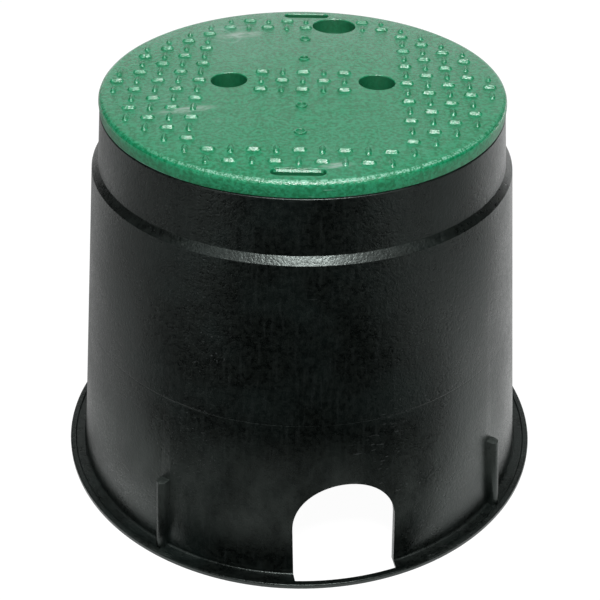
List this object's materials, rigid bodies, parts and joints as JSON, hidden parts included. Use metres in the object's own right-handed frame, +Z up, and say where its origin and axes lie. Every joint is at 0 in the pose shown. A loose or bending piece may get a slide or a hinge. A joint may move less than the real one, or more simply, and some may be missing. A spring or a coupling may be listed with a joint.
{
  "type": "irrigation valve box",
  "caption": "Round black plastic box with a flange and two arched pipe slots, closed by a green lift-off lid with tread pads, finger holes, lift slots and a lock pocket.",
  "frame": {"origin": "centre of the flange's underside, on the surface that the box stands on", "axes": "+Z up through the centre of box and lid; the pipe run passes along Y through the two slots"},
  "size_m": [0.327, 0.327, 0.2652],
  "materials": {
    "black_polyolefin": "satin moulded black plastic with a faint mottled grain",
    "green_polyolefin": "satin moulded green plastic, scuffed paler on edges and pads"
  },
  "bodies": {
    "box": {"box_body": "black_polyolefin"},
    "lid": {"lid": "green_polyolefin"}
  },
  "joints": [
    {"name": "lid_lift", "type": "slide", "parent": "box", "child": "lid", "axis": [0, 0, 1], "range_m": [0, 0.06]}
  ]
}
